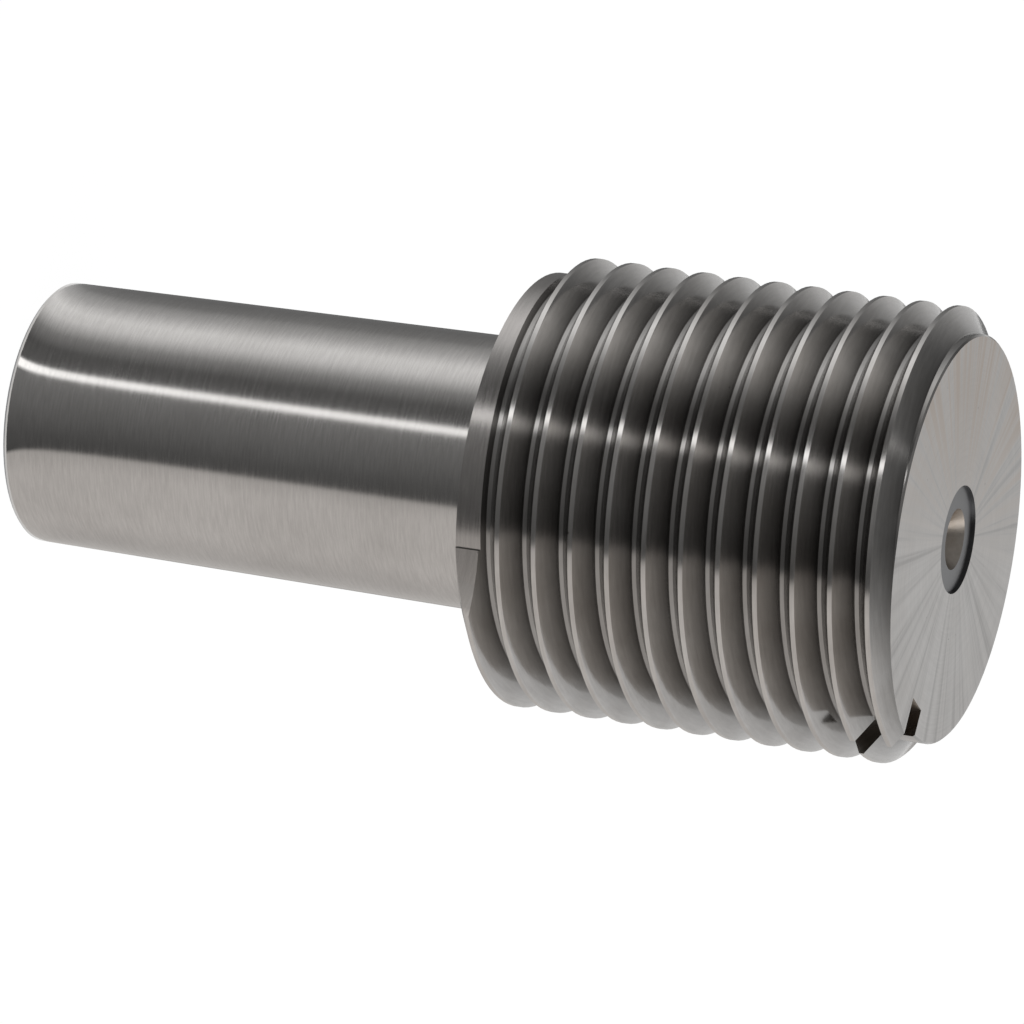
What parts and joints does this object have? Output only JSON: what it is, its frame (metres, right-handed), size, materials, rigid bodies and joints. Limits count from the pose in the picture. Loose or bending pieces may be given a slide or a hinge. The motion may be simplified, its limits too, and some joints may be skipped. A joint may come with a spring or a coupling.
{
  "type": "thread plug gauge",
  "caption": "Threaded plug gauge member: a ground V-thread head with a chip groove on a plain taper shank, centre hole in each end.",
  "frame": {"origin": "centre of the shank's free end, which the gauge stands on", "axes": "+Z along the axis from the free end of the shank to the front face of the threaded head; -Y is the side that shows the ground end of the last thread turn"},
  "size_m": [0.0254, 0.0254, 0.0543],
  "materials": {
    "ground_steel": "ground and lapped, bare"
  },
  "bodies": {
    "root": {"plug_gauge": "ground_steel"}
  },
  "joints": []
}
